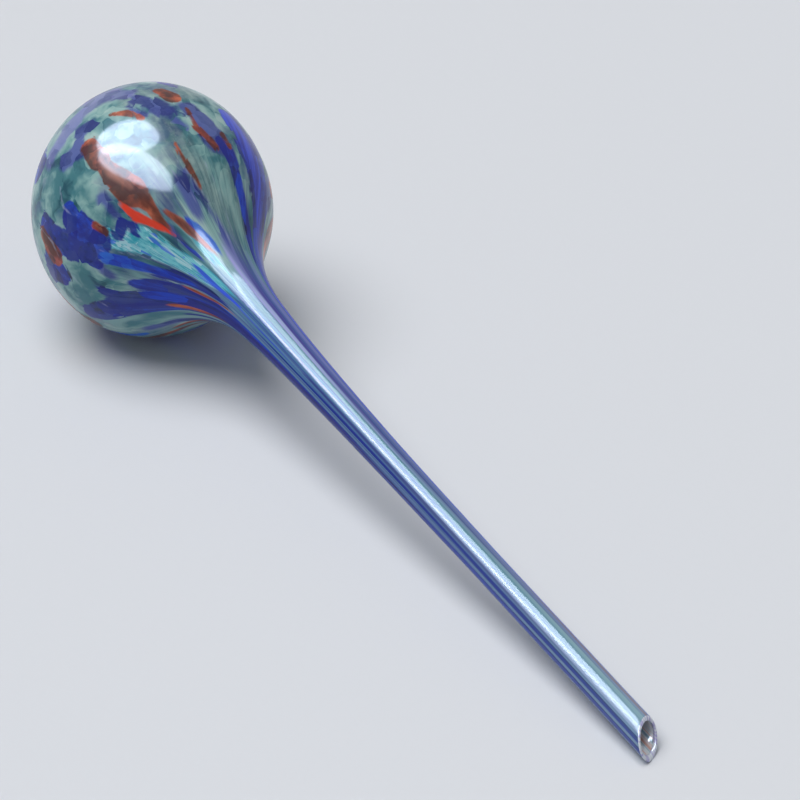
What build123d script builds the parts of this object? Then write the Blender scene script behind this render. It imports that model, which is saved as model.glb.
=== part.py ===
from build123d import *
import os
from math import acos, asin, atan2, cos, degrees, hypot, radians, sin, sqrt
from random import Random

# A blown glass watering globe, lying on a table: a hollow bulb drawn out into a long hollow stem.
# It is worked out with its axis along X and the bulb's centre at zero, then laid down at the end.
# Places round the glass are given as (along, turn) in degrees: along is the angle at the bulb's
# centre from the stem's direction, turn goes round the axis from the top towards -Y.

# The blown shape
bulb_diameter = 83.0
shoulder_angle = 44.0  # where the round bulb runs straight out into the neck
neck_length = 25.5  # from the bulb's round to the neck's waist
waist_diameter = 15.8
taper_length = 127.5  # from the waist to where the stem becomes a true cylinder
stem_diameter = 9.6
straight_length = 83.5  # from there to the middle of the slanted mouth
mouth_slope_shares = (0.57, 0.73)  # how far the cut comes back across +Y and up, per unit

# The wall's three layers, from the bore outwards
inner_wall = 0.45
colour_wall = 0.3
casing_wall = 0.25

# How far every cutter runs past what it cuts, and the least width of a chip that is kept
cut_overrun = 6.0
smallest_chip = 1.5

# Outlines of glass chips, as shares of half their length and half their width
chip_outline_shares = [
    [(-1, -0.1), (-0.55, -0.8), (0.1, -0.6), (0.75, -1), (1, 0.05), (0.5, 0.9), (-0.2, 0.6), (-0.7, 0.85)],
    [(-1, 0.2), (-0.4, -0.9), (0.35, -0.7), (1, -0.3), (0.6, 0.35), (0.7, 0.95), (-0.3, 0.75)],
    [(-0.95, -0.45), (-0.1, -1), (0.8, -0.6), (1, 0.3), (0.3, 0.7), (-0.25, 1), (-0.8, 0.5)],
]

# Chips on the side that faces the viewer: along, turn, half length and half width as shares of the
# bulb's radius, and how far the chip leans from the line towards the stem
orange_chip_shares = [
    (99, 350, 0.13, 0.14, 14),
    (91, 15, 0.14, 0.08, 34),
    (86, 38, 0.10, 0.09, -35),
    (56, 40, 0.38, 0.12, 6),
    (82, 88, 0.14, 0.12, -35),
    (60, 63, 0.08, 0.05, 4),
    (52, 128, 0.17, 0.06, -20),
    (58, 160, 0.16, 0.06, 12),
    (74, 346, 0.23, 0.04, 5),
    (56, 3, 0.19, 0.04, 8),
]
cobalt_chip_shares = [
    (92, 4, 0.20, 0.12, 22),
    (99, 33, 0.11, 0.12, 49),
    (93, 47, 0.13, 0.12, -32),
    (112, 16, 0.24, 0.11, 46),
    (66, 71, 0.24, 0.15, -10),
    (62, 53, 0.13, 0.07, -3),
    (80, 78, 0.14, 0.10, -24),
    (78, 103, 0.13, 0.13, 1),
    (75, 341, 0.23, 0.12, 6),
    (64, 322, 0.30, 0.14, 15),
    (70, 356, 0.22, 0.05, 23),
    (66, 108, 0.20, 0.12, -14),
]

# Drawn-out glass on the neck and stem: turn, width in degrees, and the along angle where it starts
cobalt_streaks = [
    (0, 14, 44), (58, 9, 47), (80, 17, 42), (108, 15, 50), (131, 22, 48), (163, 13, 46), (190, 16, 50),
    (216, 12, 44), (242, 18, 52), (271, 13, 46), (297, 16, 50), (322, 18, 46), (343, 12, 52),
]
violet_streaks = [
    (36, 11, 37), (68, 8, 40), (94, 8, 41), (148, 9, 38), (204, 10, 40), (257, 10, 42), (309, 8, 38),
]
orange_streaks = [(24, 5, 45), (47, 4, 41), (119, 4, 43), (176, 4, 46), (229, 4, 44), (285, 4, 47)]
streak_point = 32  # half the angle of a streak's pointed start

# Chips all round, set out on an even spiral: how many, half length and half width as shares
milky_count = 34
milky_size_shares = (0.21, 0.15)
hidden_cobalt_count = 44
hidden_cobalt_size_shares = (0.19, 0.13)
hidden_orange_count = 20
hidden_orange_size_shares = (0.14, 0.07)
chip_size_spread_share = 0.3
chip_lean_spread = 50
chips_from_along = 52  # nearer the stem than this, all the glass is drawn out into streaks
facing_along = 42  # the place that faces the viewer, and how far round it the listed chips reach
facing_turn = 38
facing_reach = 78

# Worked out from the sizes above
bulb_radius = bulb_diameter / 2
waist_radius = waist_diameter / 2
stem_radius = stem_diameter / 2
waist_distance = bulb_radius + neck_length
straight_distance = waist_distance + taper_length
mouth_distance = straight_distance + straight_length
slope_side, slope_up = mouth_slope_shares
mouth_plane = Plane(origin=(mouth_distance, 0, 0), z_dir=(1, slope_side, slope_up))
stem_end = mouth_distance + stem_radius * hypot(slope_side, slope_up) + cut_overrun
golden_turn = 180 * (3 - sqrt(5))

# Depths under the skin
colour_top = casing_wall
colour_bottom = colour_top + colour_wall
bore_face = colour_bottom + inner_wall

# The long taper is one arc that ends along the stem; the neck's arc runs into it at the waist
swell = waist_radius - stem_radius
taper_radius = (taper_length**2 + swell**2) / (2 * swell)
taper_centre = Vector(straight_distance, stem_radius + taper_radius)
waist = Vector(waist_distance, waist_radius)
to_waist = (waist - taper_centre).normalized()
shoulder_out = Vector(cos(radians(shoulder_angle)), sin(radians(shoulder_angle)))
neck_radius = (shoulder_out.dot(waist) - bulb_radius) / (1 + shoulder_out.dot(to_waist))
neck_centre = waist - to_waist * neck_radius
waist_angle = degrees(atan2(to_waist.Y, to_waist.X))


def wall_line(depth):
    """A line at a depth under the skin, from the bulb's far pole to past the mouth."""
    bulb = CenterArc((0, 0), bulb_radius - depth, 180, shoulder_angle - 180)
    neck_from = shoulder_angle - 180
    neck = CenterArc(neck_centre, neck_radius + depth, neck_from, waist_angle - neck_from)
    taper = CenterArc(taper_centre, taper_radius + depth, waist_angle, -90 - waist_angle)
    shoulder = Line(bulb @ 1, neck @ 0)
    stem = Line(taper @ 1, (stem_end, stem_radius - depth))
    return [bulb, shoulder, neck, taper, stem]


def layer(outer_depth, inner_depth):
    """One layer of the wall, turned about the axis and cut off at the mouth."""
    outside = wall_line(outer_depth)
    inside = wall_line(inner_depth)
    at_pole = Line(outside[0] @ 0, inside[0] @ 0)
    at_end = Line(outside[-1] @ 1, inside[-1] @ 1)
    section = make_face(Curve() + outside + inside + [at_pole, at_end])
    return split(revolve(section, Axis.X), bisect_by=mouth_plane, keep=Keep.BOTTOM)


def directions(along, turn):
    """Outwards from the bulb's centre, towards the stem along the glass, and across."""
    a = radians(along)
    t = radians(turn)
    out = Vector(cos(a), -sin(a) * sin(t), sin(a) * cos(t))
    ahead = Vector(sin(a), cos(a) * sin(t), -cos(a) * cos(t))
    return out, ahead, out.cross(ahead)


def chip_cutter(along, turn, half_long, half_wide, lean, outline):
    """A prism through the wall with a chip's outline."""
    out, ahead, across = directions(along, turn)
    lengthwise = ahead * cos(radians(lean)) + across * sin(radians(lean))
    bottom = sqrt(bulb_radius**2 - (half_long * bulb_radius) ** 2) - cut_overrun
    face = Plane(origin=out * bottom, x_dir=lengthwise, z_dir=out)
    corners = [(x * half_long * bulb_radius, y * half_wide * bulb_radius) for x, y in outline]
    return extrude(face * Polygon(*corners, align=None), amount=bulb_radius - bottom + cut_overrun)


def listed_cutters(chips):
    cutters = []
    for number, chip in enumerate(chips):
        outline = chip_outline_shares[number % len(chip_outline_shares)]
        cutters.append(chip_cutter(*chip, outline))
    return cutters


def spiral_cutters(count, size_shares, seed, only_hidden):
    """Chips on an even spiral round the bulb, each a little different."""
    draw = Random(seed)
    facing = directions(facing_along, facing_turn)[0]
    cutters = []
    for number in range(count):
        height = cos(radians(chips_from_along)) - (1 + cos(radians(chips_from_along))) * (number + 0.5) / count
        along = degrees(acos(height))
        turn = number * golden_turn + draw.uniform(-1, 1) * chip_lean_spread / 4
        grow = 1 + draw.uniform(-1, 1) * chip_size_spread_share
        lean = draw.uniform(-1, 1) * chip_lean_spread
        outline = chip_outline_shares[draw.randrange(len(chip_outline_shares))]
        hidden = facing.get_angle(directions(along, turn)[0]) > facing_reach
        if hidden or not only_hidden:
            half_long, half_wide = (grow * share for share in size_shares)
            cutters.append(chip_cutter(along, turn, half_long, half_wide, lean, outline))
    return cutters


def streak_cutter(turn, width, start):
    """A wedge about the axis, pointed where the streak starts on the bulb's shoulder."""
    reach = bulb_radius + cut_overrun
    half = radians(width / 2)
    face = Plane(origin=(0, 0, 0), x_dir=directions(90, turn)[0], z_dir=(1, 0, 0))
    corners = [(0, 0), (reach * cos(half), -reach * sin(half)), (reach * cos(half), reach * sin(half))]
    wedge = extrude(face * Polygon(*corners, align=None), amount=stem_end + cut_overrun)
    out, ahead, across = directions(start, turn)
    for side in (1, -1):
        keep_side = ahead * sin(radians(streak_point)) - across * side * cos(radians(streak_point))
        wedge = split(wedge, bisect_by=Plane(origin=out * bulb_radius, z_dir=keep_side), keep=Keep.TOP)
    return wedge


def whole_chips(shape):
    """The solids of a shape, without slivers."""
    least = smallest_chip**2 * colour_wall
    return [solid for solid in shape.solids() if solid.volume > least]


# What each colour cuts out of the colour layer: a colour earlier in this list wins where they cross
cutters = {
    "orange_flakes": listed_cutters(orange_chip_shares)
    + spiral_cutters(hidden_orange_count, hidden_orange_size_shares, 5, True),
    "cobalt_flakes": listed_cutters(cobalt_chip_shares)
    + spiral_cutters(hidden_cobalt_count, hidden_cobalt_size_shares, 11, True),
    "orange_streaks": [streak_cutter(*streak) for streak in orange_streaks],
    "cobalt_streaks": [streak_cutter(*streak) for streak in cobalt_streaks],
    "violet_streaks": [streak_cutter(*streak) for streak in violet_streaks],
    "milky_flakes": spiral_cutters(milky_count, milky_size_shares, 23, False),
}

# The clear layers are told apart at the waist: what belongs to the bulb, and what to the stem
waist_plane = Plane(origin=(waist_distance, 0, 0), z_dir=(1, 0, 0))
pieces = {}
for name, depths in {"inner_wall": (colour_bottom, bore_face), "outer_casing": (0, colour_top)}.items():
    whole = layer(*depths)
    pieces[f"bulb_{name}"] = split(whole, bisect_by=waist_plane, keep=Keep.BOTTOM).solids()
    pieces[f"stem_{name}"] = split(whole, bisect_by=waist_plane, keep=Keep.TOP).solids()
ground = layer(colour_top, colour_bottom)
for name, tools in cutters.items():
    tool = Part() + tools
    pieces[name] = whole_chips(ground & tool)
    ground = ground - pieces[name]
pieces["teal_ground_glass"] = ground.solids()

# Laid down: the bulb stands on the table and the mouth's lip comes down to it
lean_down = 0
for _ in range(20):
    lip = stem_radius * hypot(cos(lean_down) + slope_up * sin(lean_down), slope_side * sin(lean_down))
    lean_down = asin((bulb_radius - lip) / mouth_distance)
lying = Location((0, 0, bulb_radius)) * Rotation(0, degrees(lean_down), 0)
casing_box = (lying * Compound(pieces["bulb_outer_casing"] + pieces["stem_outer_casing"])).bounding_box()
lying = Location((-casing_box.center().X, 0, 0)) * lying

os.makedirs("parts", exist_ok=True)
for name, solids in pieces.items():
    laid = lying * Compound(solids)
    export_step(laid, f"parts/{name}.step")
    box = laid.bounding_box()
    print(name, len(solids), "solids", round(laid.volume), "mm3", box.min, box.max)
print("leans down by", round(degrees(lean_down), 3), "degrees; bulb's centre is at", lying.position)
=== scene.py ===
from math import acos, cos, degrees, radians, sin
from random import Random

import bpy
import numpy as np
from mathutils import Matrix, Vector


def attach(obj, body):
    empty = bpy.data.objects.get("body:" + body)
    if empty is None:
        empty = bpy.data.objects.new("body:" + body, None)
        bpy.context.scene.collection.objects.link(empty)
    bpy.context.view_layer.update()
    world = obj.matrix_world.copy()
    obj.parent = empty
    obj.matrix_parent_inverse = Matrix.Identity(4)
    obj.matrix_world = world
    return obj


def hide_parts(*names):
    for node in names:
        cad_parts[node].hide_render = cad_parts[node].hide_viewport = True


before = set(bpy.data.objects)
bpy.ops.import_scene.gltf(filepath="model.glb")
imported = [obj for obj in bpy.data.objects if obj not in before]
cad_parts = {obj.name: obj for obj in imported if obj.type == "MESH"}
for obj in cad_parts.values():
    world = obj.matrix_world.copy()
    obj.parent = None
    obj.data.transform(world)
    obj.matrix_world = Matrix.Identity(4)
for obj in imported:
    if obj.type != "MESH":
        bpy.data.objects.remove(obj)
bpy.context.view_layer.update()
print("frame loaded:", len(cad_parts), "glass layers and chips")


# the blown wall
wall = {
    "bulbCentre": (-119.028, 0.0, 41.5),  # millimetres, in the frame
    "leanDown": 7.497,  # degrees below +X
    "bulbRadius": 41.5,
    "bulbArc": (200, 58),  # degrees from the stem's direction: from past the far pole to the shoulder
    # from there on: distance along the axis from the bulb's centre, and radius
    "radii": [
        (25, 33.2), (28, 30.5), (31, 27.6), (34, 24.5), (37, 21.4), (40, 18.6), (43, 16.2), (46, 14.2),
        (49, 12.6), (52, 11.3), (56, 9.9), (60, 9.0), (66, 8.15), (72, 7.7), (80, 7.15), (92, 6.6),
        (104, 6.2), (120, 5.75), (140, 5.35), (160, 5.1), (194.5, 4.8), (300, 4.8),
    ],
    "outlineStep": 0.5,
    "smoothOver": 9,  # steps that are averaged
    "smoothTimes": 3,
    "mouthAt": 278.0,  # where the mouth's cut crosses the axis
    "mouthSlope": (0.57, 0.73),  # how far it comes back towards +Y and up, as shares of the radius
    "slantFrom": 255.0,  # from here the rings turn to the mouth's slant
    "thickness": 1.0,
    "colouredDepth": 0.55,  # the coloured wall's part of it; the clear inner wall is the rest
    "layerGap": 0.02,
    "lipRadius": 0.5,
    "lipRings": 6,
    "lipBand": 0.9,  # how far the lip's glass runs back inside the mouth
    "fineStep": 1.0,  # between rings on the bulb and neck
    "longStep": 2.0,  # between rings on the stem
    "longFrom": 85.0,  # where the stem's rings begin
    "lastGap": 1.0,  # the least run between a layer's last two rings
    "poleRadius": 0.6,  # narrower rings give way to the pole
    "insideStep": 2,  # layers under the skin have every other ring
    "around": 192,  # points in a ring
    # the blown bulb isn't quite round: its stretch along the picture's up, across and depth
    "outOfRound": (1.0169, 0.9494, 0.959),
    "roundFrom": 60.0,  # past this the glass is round
    "roundBy": 35.0,  # and it gets so over this length
    # the neck and stem bow sideways a little: distance along the axis, and how far they stand off it
    "bowTurn": 311.0,  # degrees from the top
    "bow": [(10, 0), (30, 1.2), (45, 1.8), (60, 1.9), (75, 1.8), (100, 1.4), (140, 0.9), (278, 0)],
    # how drawn-out glass runs: its place, in degrees, on the round gather that it was blown from
    "drawnFrom": 65.0,
    "drawnTo": 36.0,
    "slowRun": (9.0, 286.0),  # and slowly on by these degrees over this length
}

viewer = {
    "place": (0.82162, -0.53062, 0.67831),  # metres
    "turned": 56.22,  # degrees
    "tipped": 56.60,
    "rolled": 0.62,
    "lens": 171.68,  # millimetres, for a frame this wide
    "frameWidth": 36,
    "clip": (0.01, 20),
}
cameraTurn = (
    Matrix.Rotation(radians(viewer["turned"]), 3, "Z")
    @ Matrix.Rotation(radians(viewer["tipped"]), 3, "X")
    @ Matrix.Rotation(radians(viewer["rolled"]), 3, "Z")
)

lean = radians(wall["leanDown"])
stemWay = np.array([cos(lean), 0, -sin(lean)])
topWay = np.array([sin(lean), 0, cos(lean)])
sideWay = np.array([0, 1.0, 0])
pictureWays = [np.array(cameraTurn.col[k]) for k in (1, 0, 2)]  # up, across and depth


def eased(share):
    return share * share * (3 - 2 * share)


def runAlong(points):
    return np.concatenate([[0], np.cumsum(np.hypot(*np.diff(points, axis=0).T))])


def profileCurve():
    # the outline from the bulb's far pole to past the mouth, evenly stepped and then smoothed
    r = wall["bulbRadius"]
    bulb = [(r * cos(radians(a)), r * sin(radians(a))) for a in range(*wall["bulbArc"], -1)]
    points = np.array(bulb + wall["radii"])
    run = runAlong(points)
    steps = np.arange(0, run[-1], wall["outlineStep"])
    curve = np.stack([np.interp(steps, run, points[:, k]) for k in (0, 1)], 1)
    box = np.ones(wall["smoothOver"]) / wall["smoothOver"]
    for _ in range(wall["smoothTimes"]):
        curve = np.stack([np.convolve(curve[:, k], box, "valid") for k in (0, 1)], 1)
    start = int(np.argmax(curve[:, 1] > 0))
    curve = curve[start:]
    curve[0, 1] = 0
    return curve, runAlong(curve)


def gatherAngle(along, curve, run):
    # the angle, from the stem's direction, that this glass had before it was drawn out
    r = wall["bulbRadius"]
    startAngle, endAngle = radians(wall["drawnFrom"]), radians(wall["drawnTo"])
    slow, length = radians(wall["slowRun"][0]), wall["slowRun"][1]
    s = np.interp(along, curve[:, 0], run) - np.interp(r * cos(startAngle), curve[:, 0], run)
    fade = r * (startAngle - endAngle) / (1 - r * slow / length)
    past = np.maximum(s, 0)
    drawn = endAngle + (startAngle - endAngle) * np.exp(-past / fade) - slow * past / length
    return np.where(s < 0, np.arccos(np.clip(along / r, -1, 1)), drawn)


def wallPoints(along, radius, turn):
    # places on the glass, in metres: the leaning axis, the bulb out of round and the stem's bow
    local = (
        stemWay * along[..., None]
        - sideWay * (radius * np.sin(turn))[..., None]
        + topWay * (radius * np.cos(turn))[..., None]
    )
    share = eased(np.clip((wall["roundFrom"] - along) / wall["roundBy"], 0, 1))
    for stretch, way in zip(wall["outOfRound"], pictureWays):
        local = local + (share * (stretch - 1) * (local @ way))[..., None] * way
    bend = np.interp(along, *zip(*wall["bow"]))
    bendTurn = radians(wall["bowTurn"])
    local = local + bend[..., None] * (topWay * cos(bendTurn) - sideWay * sin(bendTurn))
    return (local + np.array(wall["bulbCentre"])) / 1000


curve, run = profileCurve()
turns = np.arange(wall["around"]) * 2 * np.pi / wall["around"]
wallEnd = wall["mouthAt"] - wall["lipRadius"]


def slantedRing(along, radius, share):
    # one ring: (along, radius) for every turn, tilted towards the mouth's slant by the share
    slopeSide, slopeUp = wall["mouthSlope"]
    back = slopeSide * -np.sin(turns) + slopeUp * np.cos(turns)
    return along - share * radius * back, np.full(turns.shape, radius)


def skinRings(depth, stop, every=1):
    # rings at a depth under the skin, from the bulb's far pole to where the layer stops
    stemRun, stopRun = np.interp((wall["longFrom"], stop), curve[:, 0], run)
    fine = np.arange(wall["fineStep"] * every, stemRun, wall["fineStep"] * every)
    coarse = np.arange(stemRun, stopRun - wall["lastGap"], wall["longStep"] * every)
    steps = np.concatenate([fine, coarse, [stopRun]])
    along, radius = [np.interp(steps, run, curve[:, k]) for k in (0, 1)]
    ahead, behind = steps + wall["outlineStep"], steps - wall["outlineStep"]
    slopeAlong, slopeOut = [
        np.interp(ahead, run, curve[:, k]) - np.interp(behind, run, curve[:, k]) for k in (0, 1)
    ]
    size = np.hypot(slopeAlong, slopeOut)
    under = along + depth * slopeOut / size
    inward = radius - depth * slopeAlong / size
    slant = np.clip((along - wall["slantFrom"]) / (wallEnd - wall["slantFrom"]), 0, 1)
    rings = zip(under, inward, slant)
    return [slantedRing(a, r, share) for a, r, share in rings if r > wall["poleRadius"]]


def joinRings(rings, poles):
    # vertices and faces of rings that run on from each other, closed by a pole at either end
    count = len(turns)
    places = np.concatenate([wallPoints(a, r, turns) for a, r in rings])
    faces = []
    for k in range(len(rings) - 1):
        here, there = k * count, (k + 1) * count
        for j in range(count):
            n = (j + 1) % count
            faces.append((here + j, here + n, there + n, there + j))
    first, last = len(places), len(places) + 1
    ends = np.array([wallPoints(np.array([p]), np.array([0.0]), np.array([0.0]))[0] for p in poles])
    places = np.concatenate([places, ends])
    tail = (len(rings) - 1) * count
    for j in range(count):
        n = (j + 1) % count
        faces.append((first, n, j))
        faces.append((last, tail + j, tail + n))
    return places, faces


def inScene(name, data):
    thing = bpy.data.objects.new(name, data)
    bpy.context.scene.collection.objects.link(thing)
    return thing


def meshPiece(name, places, faces):
    mesh = bpy.data.meshes.new(name)
    mesh.from_pydata([tuple(p) for p in places], [], faces)
    mesh.validate()
    mesh.polygons.foreach_set("use_smooth", [True] * len(mesh.polygons))
    return inScene(name, mesh)


def paintNumbers(piece, name, values):
    layer = piece.data.attributes.new(name, "FLOAT", "POINT")
    layer.data.foreach_set("value", np.asarray(values, np.float32))


def paintVectors(piece, name, values):
    layer = piece.data.attributes.new(name, "FLOAT_VECTOR", "POINT")
    layer.data.foreach_set("vector", np.asarray(values, np.float32).ravel())


# chips of coloured glass, by their places on the gather, and a few strokes of painted light, as noted at
# each
# each stroke: angle from the stem's direction, turn from the top, and half the width, all in degrees
chips = {
    "cobalt": [
        [(77, 67, 7), (64, 71, 8)], [(94, 80, 4.5), (75, 80, 6.5)], [(83, 98, 9), (80, 98, 8)],
        [(72, 80, 5), (59, 82, 2)], [(56, 54, 2.2), (55, 61, 1.7)], [(53, 52, 2), (51, 54, 1.5)],
        [(44, 76, 2), (40, 68, 3)], [(46, 88, 3.5), (41, 84, 5), (38, 82, 4)],
        [(66, 119, 4), (46, 106, 8), (41, 101, 8), (37, 86, 6)], [(60, 96, 1), (52, 99, 2.5)],
        [(43, 36, 1), (42, 36, 1)], [(63, 336, 3), (48, 329, 2.5), (41, 322, 3)],
        [(81, 318, 8), (66, 313, 12), (51, 307, 8), (44, 300, 7), (38, 305, 8)],
        [(120, 66, 7), (130, 62, 3.5)], [(37, 94, 5), (32, 98, 6), (28, 96, 6), (22, 92, 5)],
        [(35, 68, 0.5), (31, 64, 2.5), (28, 66, 3.5), (22, 66, 4)],
        [(38, 305, 6), (33, 300, 3), (22, 296, 3)],
    ],
    "royal": [
        [(84, 322, 4), (68, 317, 7), (52, 309, 4), (44, 304, 2)],
        [(41, 46, 0.5), (38, 52, 1.2), (35, 56, 0.8)],
        [(38, 318, 2), (33, 320, 4), (30, 318, 4.5), (26, 318, 4), (22, 318, 3)],
    ],
    "ultra": [
        [(56, 76, 2.5), (49, 74, 3), (44, 72, 2.5), (41, 70, 1.5)],
        [(45, 22, 1.5), (42, 17, 2), (41, 13, 1.5)],
    ],
    "dusk": [
        [(52, 12, 3.5), (47, 12, 3.5)], [(99, 4, 4.5), (85, 358, 4.5)], [(103, 36, 4.5), (102, 30, 3.5)],
        [(99, 50, 4.5), (95, 42, 5.5)], [(68, 50, 3), (60, 52, 2.5)], [(81, 358, 2), (74, 354, 1.5)],
        [(84, 345, 5), (66, 340, 7.5), (59, 334, 3)], [(56, 8, 1), (47, 4, 1.5), (42, 358, 1.5)],
        [(96, 12, 1.5), (88, 8, 1.5)], [(58, 82, 1.5), (54, 86, 2.5)],
        [(34, 50, 1), (31, 50, 2.2), (29, 50, 1)], [(33, 350, 1), (31, 350, 2), (27, 348, 1)],
    ],
    "orange": [
        [(101, 352, 3.5), (94, 349, 4.5)], [(99, 20, 1.5), (94, 14, 2.5), (86, 10, 1)],
        [(92, 37, 4.5), (82, 38, 5)], [(80, 38, 3.5), (70, 38, 5.5), (61, 37, 7), (54, 37, 3)],
        [(49, 31, 1.2), (45, 27, 2.2), (42, 23, 1.5), (40, 18, 0.4)], [(93, 86, 4), (82, 90, 5)],
        [(55, 35, 3), (50, 38, 2.5), (47, 37, 1)], [(65, 63, 2), (60, 63, 1.5)],
        [(84, 347, 1), (72, 348, 2), (61, 342, 1.5)], [(67, 4, 1.2), (58, 4, 1.3), (50, 2, 0.8)],
        [(68, 334, 2), (62, 332, 1)], [(41, 108, 1.8), (38.5, 111, 1.2)],
        [(28.3, 324, 0.5), (27.9, 328, 1.8), (26.5, 336, 1.8)], [(39.5, 77, 1.3), (37, 75, 1)],
        [(45, 150, 1), (42.5, 148, 1.5), (40, 144, 1)],
    ],
    "umber": [
        [(56, 35, 1.8), (54, 37, 1.8)], [(52, 36, 1.2), (49, 36, 1)], [(47, 29, 1), (43, 25, 0.8)],
        [(39.5, 77, 0.8), (37, 75, 0.6)], [(92, 86, 2), (84, 88, 2.5)],
    ],
    # first stroke: painted highlight, the orange chip paled where the window's reflection lies on it;
    # second: a salmon thread near the mouth
    "salmon": [
        [(82, 37, 1), (73, 38, 2.5), (62, 36, 1.5)], [(30, 342, 0.2), (26, 342, 0.6)],
    ],
    "flame": [
        [(61, 46, 0.6), (54, 46, 2.2), (50, 43, 1.8), (45, 38, 0.3)],
    ],
    "pale": [
        [(99, 61, 7.5), (95, 69, 5.5)], [(87, 50, 4), (76, 53, 2.5)], [(66, 90, 4.5), (59, 106, 4.5)],
        [(48, 80, 1.5), (45, 82, 2)], [(57, 126, 4.5), (46, 126, 7), (40, 124, 6)],
        [(73, 90, 2.5), (65, 110, 5.5)], [(38, 24, 1), (34, 18, 3), (31, 8, 3), (22, 2, 3)],
        [(33, 78, 0.5), (30, 78, 1), (22, 80, 1.5)], [(30, 12, 1), (28, 8, 7), (24, 0, 8)],
    ],
    # aqua glass painted paler and brighter where light focuses through the bulb: partly painted light, with
    # painted glints
    "bright": [
        [(60, 68, 2.5), (52, 60, 5), (46, 54, 6.5), (42, 50, 4), (39, 44, 2)], [(41, 28, 3), (40, 24, 2.5)],
    ],
    "hair": [
        [(100, 84, 0.3), (86, 84, 0.5), (70, 96, 0.4), (56, 110, 0.3)],
        [(60, 8, 0.2), (50, 3, 0.4), (41, 354, 0.3)], [(74, 14, 0.2), (58, 14, 0.5), (46, 8, 0.3)],
        [(92, 60, 0.2), (84, 66, 0.5), (74, 64, 0.2)], [(70, 358, 0.2), (54, 352, 0.4), (42, 346, 0.3)],
        [(60, 74, 0.2), (48, 66, 0.4), (40, 60, 0.3)],
    ],
    "green": [
        [(80, 4, 5), (62, 2, 6), (45, 356, 5), (41, 345, 4)], [(52, 337, 2), (44, 326, 4)],
        [(104, 10, 4), (99, 339, 9)], [(55, 24, 3), (49, 26, 2)],
    ],
    "lilac": [
        # the first stroke lies where the stem's highlight falls: a pale lilac streak of the glass, partly
        # painted highlight
        [(34, 33, 1), (32, 34, 2.4), (30, 36, 2.8), (27, 40, 3)], [(38, 6, 2), (35, 4, 3), (33, 4, 0.5)],
    ],
    "violet": [
        [(39, 359, 3), (37, 352, 4), (34, 356, 4)], [(45, 36, 2), (44, 36, 1.5)],
        # these two strokes lie at the bulb's upper-left edge: partly violet glass, partly painted sheen of
        # the edge's lustre
        [(127, 18, 7.5), (109, 7, 6)], [(111, 54, 5.5), (114, 40, 6), (117, 20, 4.5)],
        [(36, 336, 2), (32, 338, 2), (22, 338, 2)],
    ],
}


def gatherWay(angle, turn):
    angle, turn = np.radians(angle), np.radians(turn)
    return np.stack([np.cos(angle), np.sin(angle) * np.cos(turn), np.sin(angle) * np.sin(turn)], -1)


# the side that the photo doesn't show has chips of the same kinds and sizes, on a spiral
hiddenSide = {
    "seed": 4,
    "count": 112,
    "seenMiddle": (72.0, 40.0),  # the listed chips lie round this place, out to the next angle
    "seenTo": 76.0,
    "golden": 137.508,
    "spiral": (0.76, 1.75),  # the cosine of the angle where it starts, and how much that falls
    "halfLong": (5.0, 11.0),
    "halfWide": (3.6, 8.0),
    "aslant": 6.0,  # degrees at most that a chip's ends turn to either side
    "farWidth": 0.7,  # share of the width at the end away from the stem
    # chips beyond the shoulder's angle, and those nearer the stem, which are drawn out towards it
    "shoulder": 66,
    "nearLength": (1.0, 1.8),
    "nearWidth": (0.8, 0.4),
    "nearStop": 37,
    "orangeWidths": (0.45, 0.65, 0.85),
    "kinds": ("cobalt", "cobalt", "ultra", "cobalt", "dusk", "pale", "green", "violet", "orange", "orange"),
    # threads down the stem: their kinds in turn, where they start, run full and end, and how wide
    "stemKinds": ("cobalt", "pale", "dusk", "royal", "cobalt", "green", "violet"),
    "stemTurns": range(124, 296, 12),
    "stemFrom": (36, 42),
    "stemFull": 32,
    "stemTo": 22,
    "stemWide": (1.2, 2.8),
    "stemStart": 0.6,
}


def addHiddenChips(chips):
    look = hiddenSide
    draw = Random(look["seed"])
    seenWay = gatherWay(*look["seenMiddle"])
    first, fall = look["spiral"]
    for k in range(look["count"]):
        angle = degrees(acos(first - fall * (k + 0.5) / look["count"]))
        turn = k * look["golden"] % 360
        halfLong = draw.uniform(*look["halfLong"])
        halfWide = draw.uniform(*look["halfWide"])
        aside = draw.uniform(-look["aslant"], look["aslant"]) / sin(radians(angle))
        kind = draw.choice(look["kinds"])
        if kind == "orange":
            halfWide *= look["orangeWidths"][k % len(look["orangeWidths"])]
        if gatherWay(angle, turn) @ seenWay < cos(radians(look["seenTo"])):
            drawnOut = angle < look["shoulder"]
            near = max(angle - halfLong * look["nearLength"][drawnOut], look["nearStop"])
            chips[kind].append([
                (angle + halfLong, turn + aside, halfWide * look["farWidth"]),
                (angle, turn, halfWide),
                (near, turn - aside, halfWide * look["nearWidth"][drawnOut]),
            ])
    for k, turn in enumerate(look["stemTurns"]):
        kind = look["stemKinds"][k % len(look["stemKinds"])]
        wide = draw.uniform(*look["stemWide"])
        start = draw.uniform(*look["stemFrom"])
        chips[kind].append([
            (start, turn, wide * look["stemStart"]),
            (look["stemFull"], turn, wide),
            (look["stemTo"], turn, wide),
        ])


addHiddenChips(chips)
farFromChips = 60.0  # degrees


def chipReach(ways, strokes):
    # how far each place lies outside the nearest chip, in degrees: negative inside it
    nearest = np.full(len(ways), farFromChips)
    for stroke in strokes:
        for (angleA, turnA, wideA), (angleB, turnB, wideB) in zip(stroke, stroke[1:]):
            a, b = gatherWay(angleA, turnA), gatherWay(angleB, turnB)
            span = b - a
            t = np.clip(((ways - a) @ span) / (span @ span), 0, 1)
            gap = np.linalg.norm(ways - (a + t[:, None] * span), axis=1)
            nearest = np.minimum(nearest, np.degrees(gap) - (wideA + t * (wideB - wideA)))
    return nearest


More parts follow.
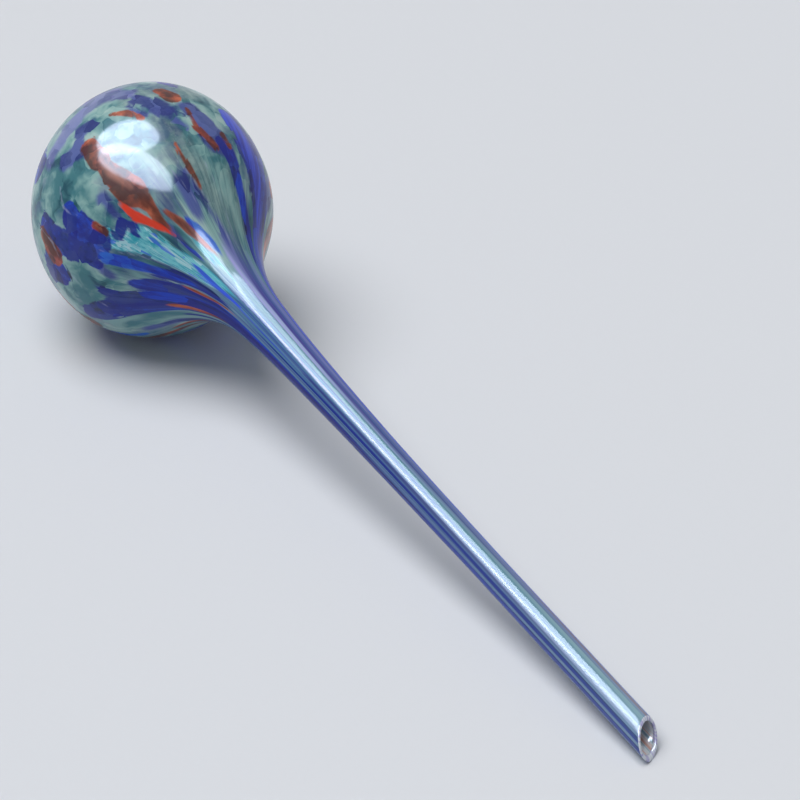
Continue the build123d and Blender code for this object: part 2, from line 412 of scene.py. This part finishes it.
class Wire:
    # one socket's number, with Python's own operators

    def __init__(self, bench, socket):
        self.bench, self.socket = bench, socket

    def math(self, operation, *others):
        return self.bench.add("Math", {"operation": operation}, dict(enumerate((self,) + others)))

    def __add__(self, other):
        return self.math("ADD", other)

    def __sub__(self, other):
        return self.math("SUBTRACT", other)

    def __rsub__(self, other):
        return self.math("MULTIPLY_ADD", -1.0, other)

    def __mul__(self, other):
        return self.math("MULTIPLY", other)

    __radd__, __rmul__ = __add__, __mul__

    def most(self, other):
        return self.math("MAXIMUM", other)


class Bench:
    # the nodes of a material or of the world

    def __init__(self, owner):
        self.owner = owner
        owner.use_nodes = True
        self.tree = owner.node_tree
        self.tree.nodes.clear()

    def add(self, kind, settings=None, sockets=None, out=0):
        node = self.tree.nodes.new("ShaderNode" + kind)
        for key, value in (settings or {}).items():
            if key == "stops":
                ramp = node.color_ramp
                for place, color in value:
                    stop = ramp.elements.new(place)
                    stop.color = (*color, 1)
                ramp.elements.remove(ramp.elements[0])
                ramp.elements.remove(ramp.elements[-1])
            else:
                setattr(node, key, value)
        for key, value in (sockets or {}).items():
            socket = node.inputs[key]
            if isinstance(value, Wire):
                self.tree.links.new(value.socket, socket)
            elif hasattr(value, "__len__") and len(value) == 3 and len(socket.default_value) == 4:
                socket.default_value = (*value, 1)
            else:
                socket.default_value = value
        return Wire(self, node.outputs[out]) if node.outputs else None

    def number(self, name):
        return self.add("Attribute", {"attribute_name": name}, out="Fac")

    def vector(self, name):
        return self.add("Attribute", {"attribute_name": name}, out="Vector")

    def scaled(self, vector, amounts):
        return self.add("VectorMath", {"operation": "MULTIPLY"}, {0: vector, 1: amounts})

    def shifted(self, vector, by):
        return self.add("VectorMath", {"operation": "ADD"}, {0: vector, 1: by})

    def noise(self, place, scale, detail=2.0, rough=0.5, out="Fac"):
        sockets = {"Vector": place, "Scale": scale, "Detail": detail, "Roughness": rough}
        return self.add("TexNoise", {}, sockets, out)

    def cells(self, place, scale):
        # a random colour for each cell, whose channels are the cell's own numbers
        return self.add("TexVoronoi", {"feature": "F1"}, {"Vector": place, "Scale": scale}, "Color")

    def channel(self, color, k):
        return self.add("SeparateColor", {}, {0: color}, k)

    def step(self, value, low, high):
        # 0 below low, 1 above high, smooth between
        return self.add(
            "MapRange",
            {"interpolation_type": "SMOOTHSTEP"},
            {"Value": value, "From Min": low, "From Max": high},
        )

    def ramp(self, value, stops):
        return self.add("ValToRGB", {"stops": stops}, {0: value})

    def mix(self, share, a, b):
        return self.add("Mix", {"data_type": "RGBA"}, {0: share, 6: a, 7: b}, 2)

    def finish(self, shader, output="OutputMaterial"):
        self.add(output, {}, {0: shader})
        return self.owner


# sRGB as 0 to 255 to the linear colour that Blender works in
def srgb(*color):
    shares = [c / 255 for c in color]
    return tuple(c / 12.92 if c <= 0.04045 else ((c + 0.055) / 1.055) ** 2.4 for c in shares)


glassLook = {
    "tealDark": srgb(32, 86, 98),
    "teal": srgb(70, 130, 134),
    "tealPale": srgb(138, 182, 174),
    "mint": srgb(172, 204, 192),
    "aqua": srgb(40, 168, 186),
    "aquaPale": srgb(128, 216, 220),
    # painted glints
    "glint": srgb(206, 240, 240),
    "hair": srgb(186, 196, 222),
    "grey": srgb(146, 170, 162),
    "greyDark": srgb(88, 122, 126),
    "navy": srgb(6, 8, 62),
    "cobalt": srgb(18, 30, 140),
    "ultramarine": srgb(18, 66, 198),
    "royal": srgb(26, 40, 168),
    "royalPale": srgb(52, 84, 232),
    "dusk": srgb(36, 42, 122),
    "duskPale": srgb(80, 92, 164),
    "umber": srgb(88, 36, 14),
    "ultraPale": srgb(40, 112, 214),
    "rust": srgb(156, 66, 26),
    "orange": srgb(214, 106, 62),
    "flame": srgb(240, 58, 12),
    "violet": srgb(74, 62, 148),
    "violetPale": srgb(126, 120, 198),
    "stemDeep": srgb(12, 34, 86),
    "stemTeal": srgb(74, 132, 156),
    "stemBlue": srgb(60, 84, 164),
    "stemPale": srgb(160, 190, 206),
    "lilac": srgb(176, 172, 232),
    "clear": srgb(236, 242, 246),
    "rimViolet": srgb(178, 172, 220),
    "insidePale": srgb(224, 230, 234),
    "insideRose": srgb(224, 178, 166),
    # the orange chip's painted highlight, and a thread by the mouth
    "salmon": srgb(220, 146, 116),
    "edgeBlur": 0.5,  # a chip's edge fades over twice this many degrees
    "shardSize": 8.5,  # how many shards of broken glass span the bulb's radius
    # degrees that a chip's edge wanders between its furthest in and out, with each of these
    "shardReach": 3.6,
    "coarseReach": 4.0,
    "fineReach": 1.2,
    "threadReach": 3.0,
    "roughness": 0.3,
    "transmission": 0.1,
    "ior": 1.5,
    "specular": 0.02,
    "coat": 0.5,  # on the bulb, then where the stem starts and at the mouth
    "stemCoat": 0.27,
    "mouthCoat": 0.36,
    "coatRoughness": 0.1,
    "coatTint": (0.9, 0.88, 1.0),
    "sheen": 0.03,
    "sheenRoughness": 0.2,
    "bump": 0.1,
    "bumpHeight": 0.0006,  # metres
}

# how each kind of chip lies in the glass: its strength, and how much its edge wanders and blurs
chipEdges = {
    "green": (0.7, 1.0, 5.0),
    "pale": (0.85, 1.0, 2.5),
    "bright": (0.92, 1.0, 1.0),
    "violet": (0.7, 1.0, 4.0),
    "dusk": (0.9, 0.8, 2.5),
    "ultra": (0.95, 0.7, 1.0),
    "royal": (0.9, 0.7, 1.0),
    "orange": (0.92, 0.4, 1.0),
    "umber": (0.75, 0.5, 2.0),
    "flame": (0.95, 0.3, 1.0),
    "hair": (0.45, 0.12, 1.0),
    "lilac": (0.85, 0.5, 3.0),
}


def blownGlass():
    b = Bench(bpy.data.materials.new("blown_glass"))
    look = glassLook
    gather = b.vector("gather")
    drawn = b.number("drawn")  # 0 on the round bulb, 1 where the glass is all drawn out
    stem = b.number("stem")  # 0 on the bulb and neck, 1 on the stem
    near = b.number("towardsMouth")  # 0 at the neck, 1 at the mouth
    strand = b.vector("strand")  # round the axis and slowly along, for fine threads
    coarse = b.noise(gather, 5.0, 3.0, 0.55)
    fine = b.noise(gather, 18.0, 4.0, 0.65)
    thread = b.noise(b.scaled(strand, (14.0, 14.0, 2.2)), 1.0, 4.0, 0.65)
    thinThread = b.noise(b.scaled(strand, (38.0, 38.0, 1.6)), 1.0, 3.0, 0.6)
    warp = b.shifted(gather, b.scaled(b.noise(gather, 6.0, 2.0, 0.5, "Color"), (0.14, 0.14, 0.14)))

    # shards of broken glass: each has a number of its own for its edge and another for its tone
    shards = b.cells(warp, look["shardSize"])
    shardEdge = b.channel(shards, 0)
    shardTone = b.channel(shards, 1)
    wander = (shardEdge - 0.5) * look["shardReach"] * (1 - drawn * 0.55)
    wander = wander + (coarse - 0.5) * look["coarseReach"] + (fine - 0.5) * look["fineReach"]
    wander = wander + (thread - 0.5) * drawn * look["threadReach"]

    def inside(name, give, blur):
        fade = look["edgeBlur"] * blur
        return b.step(b.number(name + "Reach") + wander * give, fade, -fade)

    def laid(name, under, tint):
        strength, give, blur = chipEdges[name]
        return b.mix(inside(name, give, blur) * strength, under, tint)

    # the milky ground: pale and dark pools, and bands and threads where it is drawn out
    pool = b.noise(b.shifted(warp, (3.1, 0.7, 1.9)), 4.5, 3.0, 0.5)
    shade = pool + (shardTone - 0.5) * 0.14 + (thread - 0.5) * drawn * 0.3
    pools = [(0.29, look["tealDark"]), (0.41, look["teal"]), (0.53, look["tealPale"]), (0.68, look["mint"])]
    ground = b.ramp(shade, pools)
    grey = b.mix(b.step(fine * 0.5 + thread * 0.5, 0.4, 0.62), look["greyDark"], look["grey"])
    ground = laid("green", ground, grey)
    sunken = b.noise(b.shifted(warp, (7.3, 2.2, 4.1)), 3.4, 2.0, 0.5) + (shardEdge - 0.5) * 0.1
    ground = b.mix(b.step(sunken, 0.53, 0.62) * 0.38, ground, look["dusk"])
    band = b.noise(b.scaled(strand, (5.5, 5.5, 1.4)), 1.0, 3.0, 0.55)
    ground = b.mix(b.step(band, 0.52, 0.6) * drawn * 0.6, ground, look["dusk"])
    ground = b.mix(b.step(thinThread, 0.52, 0.7) * drawn * 0.5, ground, look["tealDark"])
    stemRun = [(0.38, look["stemDeep"]), (0.48, look["stemBlue"]), (0.56, look["stemTeal"])]
    ground = b.mix(stem * 0.85, ground, b.ramp(thread * 0.6 + band * 0.4, stemRun))
    pale = b.mix(b.step(pool, 0.42, 0.6), look["teal"], look["tealPale"])
    color = laid("pale", ground, pale)
    # the aqua patch: aqua glass with painted light focused through it, painted glints and blue squares
    aqua = b.mix(b.step(fine, 0.38, 0.62), look["aqua"], look["aquaPale"])
    sparkle = b.step(b.noise(b.scaled(strand, (60.0, 60.0, 10.0)), 1.0, 2.0), 0.55, 0.66)
    tiles = b.channel(b.cells(b.scaled(strand, (24.0, 24.0, 30.0)), 1.0), 0)
    aqua = b.mix(b.step(tiles, 0.92, 0.94) * 0.7, aqua, look["royalPale"])
    aqua = b.mix(b.step(tiles, 0.14, 0.12) * 0.6, aqua, look["glint"])
    color = laid("bright", color, b.mix(sparkle * 0.75, aqua, look["glint"]))

    # chips, one kind over the other
    # violet chips; at the bulb's upper-left edge partly painted sheen
    color = laid("violet", color, b.mix(shardTone, look["violet"], look["violetPale"]))
    milky = b.step(shardTone * 0.6 + fine * 0.4, 0.25, 0.7)
    color = laid("dusk", color, b.mix(milky, look["dusk"], look["duskPale"]))
    depth = shardTone * 0.28 + fine * 0.35 + coarse * 0.12 + thread * 0.25
    blue = b.ramp(depth, [
        (0.29, look["navy"]), (0.43, look["cobalt"]), (0.54, look["cobalt"]), (0.66, look["ultramarine"]),
    ])
    cobalt = inside("cobalt", 1.0, 1.0)
    color = b.mix(cobalt * (0.88 + 0.12 * shardEdge), color, blue)
    ultra = b.ramp(depth, [(0.32, look["cobalt"]), (0.46, look["ultramarine"]), (0.62, look["ultraPale"])])
    color = laid("ultra", color, ultra)
    color = laid("royal", color, b.mix(b.step(thread, 0.35, 0.62), look["royal"], look["royalPale"]))
    embers = coarse * 0.75 + fine * 0.15 + shardTone * 0.1
    rust = b.ramp(embers, [(0.43, look["umber"]), (0.53, look["rust"]), (0.63, look["orange"])])
    color = laid("orange", color, rust)
    color = laid("umber", color, look["umber"])
    # painted highlight on the orange chip, and the salmon thread by the mouth
    color = b.mix(b.step(b.number("salmonReach"), 1, -2.5) * 0.6, color, look["salmon"])
    color = laid("flame", color, look["flame"])
    color = laid("hair", color, look["hair"])
    # pale lilac streak under the stem's highlight: partly the glass's own colour, partly painted highlight
    color = laid("lilac", color, b.mix(b.step(thread, 0.4, 0.6), look["stemPale"], look["lilac"]))

    # the stem thins to pale glass towards the mouth
    color = b.mix(near * near * 0.5 * (1 - cobalt * 0.7), color, look["stemPale"])

    swell = b.noise(gather, 2.6, 1.0)
    bump = b.add("Bump", {}, {"Strength": look["bump"], "Distance": look["bumpHeight"], "Height": swell})
    stemCoat = near * (look["mouthCoat"] - look["stemCoat"]) + look["stemCoat"]
    sockets = {
        "Base Color": color,
        "Roughness": look["roughness"] + b.step(fine, 0.4, 0.8) * 0.04,
        "IOR": look["ior"],
        "Transmission Weight": look["transmission"],
        "Specular IOR Level": look["specular"],
        "Coat Weight": look["coat"] - stem * (look["coat"] - stemCoat),
        "Coat Roughness": look["coatRoughness"],
        "Coat IOR": look["ior"],
        "Coat Tint": look["coatTint"],
        "Sheen Weight": look["sheen"],
        "Sheen Roughness": look["sheenRoughness"],
        "Sheen Tint": look["violetPale"],
        "Normal": bump,
    }
    return b.finish(b.add("BsdfPrincipled", {}, sockets))


lipLook = {
    "threads": (6.0, 6.0, 1.0),
    "uneven": 0.04,
    "transmission": 0.2,
    "coat": 0.6,
    "coatRoughness": 0.05,
}


def clearLip():
    b = Bench(bpy.data.materials.new("clear_lip"))
    look = lipLook
    streak = b.noise(b.scaled(b.vector("strand"), look["threads"]), 1.0, 3.0)
    sockets = {
        "Base Color": b.mix(b.step(streak, 0.4, 0.62), glassLook["clear"], glassLook["rimViolet"]),
        "Roughness": glassLook["roughness"] + streak * look["uneven"],
        "IOR": glassLook["ior"],
        "Transmission Weight": look["transmission"],
        "Coat Weight": look["coat"],
        "Coat Roughness": look["coatRoughness"],
    }
    return b.finish(b.add("BsdfPrincipled", {}, sockets))


# the coloured layer from inside: paler, as daylight comes through it
insideLook = {
    "threads": (9.0, 9.0, 1.0),
    "tints": (
        (0.38, glassLook["stemPale"]), (0.5, glassLook["insidePale"]), (0.64, glassLook["insideRose"]),
    ),
    "roughness": 0.2,
    "uneven": 0.1,
    "transmission": 0.3,
}
# the first gather: clear glass that takes its tint from the colours behind it
gatherLook = {
    "threads": (4.5, 4.5, 0.6),
    "tints": (
        (0.38, glassLook["stemPale"]), (0.5, glassLook["clear"]), (0.64, glassLook["insideRose"]),
    ),
    "roughness": 0.1,
    "uneven": 0.1,
    "transmission": 0.15,
}


def threadedGlass(name, look):
    b = Bench(bpy.data.materials.new(name))
    thread = b.noise(b.scaled(b.vector("strand"), look["threads"]), 1.0, 3.0)
    sockets = {
        "Base Color": b.ramp(thread, look["tints"]),
        "Roughness": look["roughness"] + thread * look["uneven"],
        "IOR": glassLook["ior"],
        "Transmission Weight": look["transmission"],
    }
    return b.finish(b.add("BsdfPrincipled", {}, sockets))


# the measures that are painted on each layer for its materials
painted = {
    "neck": 60.0,  # millimetres along: towardsMouth is 0 up to here, and 1 at the mouth
    "drawn": (78.0, 32.0),  # degrees on the gather where it leaves 0, and how many fewer make it 1
    "stem": (41.0, 6.0),
    # the strand's third number: one for this many degrees, and this much more by the mouth
    "strandTurn": 60.0,
    "strandMore": 0.3,
}


def layerPiece(name, rings, poles):
    # a closed shell from its rings, with the painted places that its materials read
    places, faces = joinRings(rings, poles)
    piece = meshPiece(name, places, faces)
    flatAlong = np.concatenate([a for a, _ in rings] + [[p] for p in poles])
    flatTurn = np.concatenate([turns] * len(rings) + [[0.0], [0.0]])
    angle = gatherAngle(flatAlong, curve, run)
    ways = gatherWay(np.degrees(angle), np.degrees(flatTurn))
    mouthShare = np.clip((flatAlong - painted["neck"]) / (wall["mouthAt"] - painted["neck"]), 0, 1)
    strandRun = np.degrees(angle) / painted["strandTurn"] + mouthShare * painted["strandMore"]
    paintVectors(piece, "gather", ways)
    paintVectors(piece, "strand", np.stack([np.cos(flatTurn), np.sin(flatTurn), strandRun], 1))
    for measure in ("drawn", "stem"):
        start, reach = np.radians(painted[measure])
        paintNumbers(piece, measure, eased(np.clip((start - angle) / reach, 0, 1)))
    paintNumbers(piece, "towardsMouth", mouthShare)
    for color, strokes in chips.items():
        paintNumbers(piece, color + "Reach", chipReach(ways, strokes))
    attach(piece, "root")
    return piece


farPole = -wall["bulbRadius"]
thick, depth, gap = wall["thickness"], wall["colouredDepth"], wall["layerGap"]
stemRadius, lipRadius = wall["radii"][-1][1], wall["lipRadius"]
innerStop = wallEnd - wall["lipBand"]
clearStop = innerStop - gap

# the coloured wall: its skin, the rounded lip and its own inside
outside = skinRings(0, wallEnd)
lipTurns = np.pi * np.arange(1, wall["lipRings"]) / wall["lipRings"]
lipMiddle = stemRadius - lipRadius
lip = [slantedRing(wallEnd + lipRadius * sin(t), lipMiddle + lipRadius * cos(t), 1.0) for t in lipTurns]
band = [slantedRing(a, stemRadius - thick, 1.0) for a in (wallEnd, (wallEnd + innerStop) / 2, innerStop)]
under = skinRings(depth, innerStop, wall["insideStep"])[::-1]
colouredWall = layerPiece("coloured_glass_wall", outside + lip + band + under, (farPole, farPole + depth))
for material in (blownGlass(), clearLip(), threadedGlass("lit_inside", insideLook)):
    colouredWall.data.materials.append(material)
skinSlot, lipSlot, insideSlot = range(3)
slots = np.full(len(colouredWall.data.polygons), insideSlot, np.int32)
lipFrom = (len(outside) - 1) * wall["around"]
lipTo = lipFrom + (len(lip) + len(band)) * wall["around"]
slots[:lipFrom] = skinSlot
slots[lipFrom:lipTo] = lipSlot
slots[-2 * wall["around"] :: 2] = skinSlot  # the two poles' faces take turns, the skin's first
colouredWall.data.polygons.foreach_set("material_index", slots)
clearNodes = ("bulb_inner_wall", "stem_inner_wall")
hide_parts(*sorted(set(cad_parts) - set(clearNodes)))
print("coloured wall built:", len(colouredWall.data.polygons), "faces")

# the clear first gather inside it, open at the mouth
skin = skinRings(depth + gap, clearStop, wall["insideStep"])
bore = skinRings(thick, clearStop, wall["insideStep"])[::-1]
clearWall = layerPiece("clear_inner_wall", skin + bore, (farPole + depth + gap, farPole + thick))
clearWall.data.materials.append(threadedGlass("clear_gather", gatherLook))
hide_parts(*clearNodes)
print("clear wall built:", len(clearWall.data.polygons), "faces")


# floor, light and camera
studio = {
    "floorSize": 6.0,
    "floorColor": srgb(220, 222, 226),
    "floorSpeck": srgb(219, 221, 224),
    # what the shiny skin mirrors of a window: all of it, and its brighter top
    # ways from the bulb are in the camera's axes, and distances, widths and lengths in metres
    "window": {
        "way": (-0.21, 0.58, 0.79),
        "far": 0.90,
        "size": (0.46, 1.38),
        "lengthWay": (0.85, -0.38, 0.41),
        "watts": 37.0,
    },
    "windowTop": {
        "way": (-0.31, 0.87, 0.38),
        "far": 0.92,
        "size": (0.56, 0.84),
        "lengthWay": (0.9, -0.42, 0),
        "watts": 31.0,
    },
    "windowColor": srgb(218, 232, 255),
    "keyWay": (-0.31, 0.81, 0.50),
    "keyStrength": 2.3,
    "keyAngle": 50.0,
    "skyColor": srgb(232, 236, 242),
    "skyStrength": 0.3,
    "backdropColor": srgb(196, 199, 203),
}


def paleFloor():
    b = Bench(bpy.data.materials.new("pale_floor"))
    grain = b.noise(b.add("TexCoord", {}, {}, "Object"), 9.0, 4.0)
    floorColor = b.mix(grain * 0.06, studio["floorColor"], studio["floorSpeck"])
    matt = {"Base Color": floorColor, "Roughness": 0.6 + grain * 0.1, "Specular IOR Level": 0.05}
    return b.finish(b.add("BsdfPrincipled", {}, matt))


edge = studio["floorSize"] / 2
corners = [(-edge, -edge, 0), (edge, -edge, 0), (edge, edge, 0), (-edge, edge, 0)]
floor = meshPiece("floor", corners, [(0, 1, 2, 3)])
floor.data.materials.append(paleFloor())


def studioSky():
    # it lights the glass softly, and the camera and the glass see it as pale as the floor
    b = Bench(bpy.data.worlds.new("studio_sky"))
    seen = b.add("LightPath", out="Is Camera Ray")
    for ray in ("Is Glossy Ray", "Is Transmission Ray"):
        seen = seen.most(b.add("LightPath", out=ray))
    soft = tuple(c * studio["skyStrength"] for c in studio["skyColor"])
    sky = b.add("Background", {}, {"Color": b.mix(seen, soft, studio["backdropColor"])})
    return b.finish(sky, "OutputWorld")


bpy.context.scene.world = studioSky()


def softPanel(name):
    # a lamp that only the glass's shine shows
    look = studio[name]
    way = (cameraTurn @ Vector(look["way"])).normalized()
    across = (cameraTurn @ Vector(look["lengthWay"])).cross(way).normalized()
    panel = bpy.data.lights.new(name, "AREA")
    panel.shape = "ELLIPSE"
    panel.size, panel.size_y = look["size"]
    panel.energy = look["watts"]
    panel.color = studio["windowColor"]
    lamp = inScene(name, panel)
    lamp.location = Vector(wall["bulbCentre"]) / 1000 + way * look["far"]
    lamp.rotation_euler = Matrix((across, way.cross(across), way)).transposed().to_euler()
    lamp.visible_diffuse = lamp.visible_transmission = False


key = bpy.data.lights.new("soft_key", "SUN")
key.energy = studio["keyStrength"]
key.angle = radians(studio["keyAngle"])
keyLamp = inScene("soft_key", key)
keyLamp.rotation_euler = (cameraTurn @ Vector(studio["keyWay"])).to_track_quat("Z", "Y").to_euler()
keyLamp.visible_glossy = False
softPanel("window")
softPanel("windowTop")

eye = bpy.data.cameras.new("photo_view")
eye.lens = viewer["lens"]
eye.sensor_width = viewer["frameWidth"]
eye.sensor_fit = "HORIZONTAL"
eye.clip_start, eye.clip_end = viewer["clip"]
eyeObject = inScene("photo_view", eye)
eyeObject.matrix_world = Matrix.Translation(viewer["place"]) @ cameraTurn.to_4x4()
bpy.context.scene.camera = eyeObject
bpy.context.scene.view_settings.view_transform = "Standard"
print("studio set")
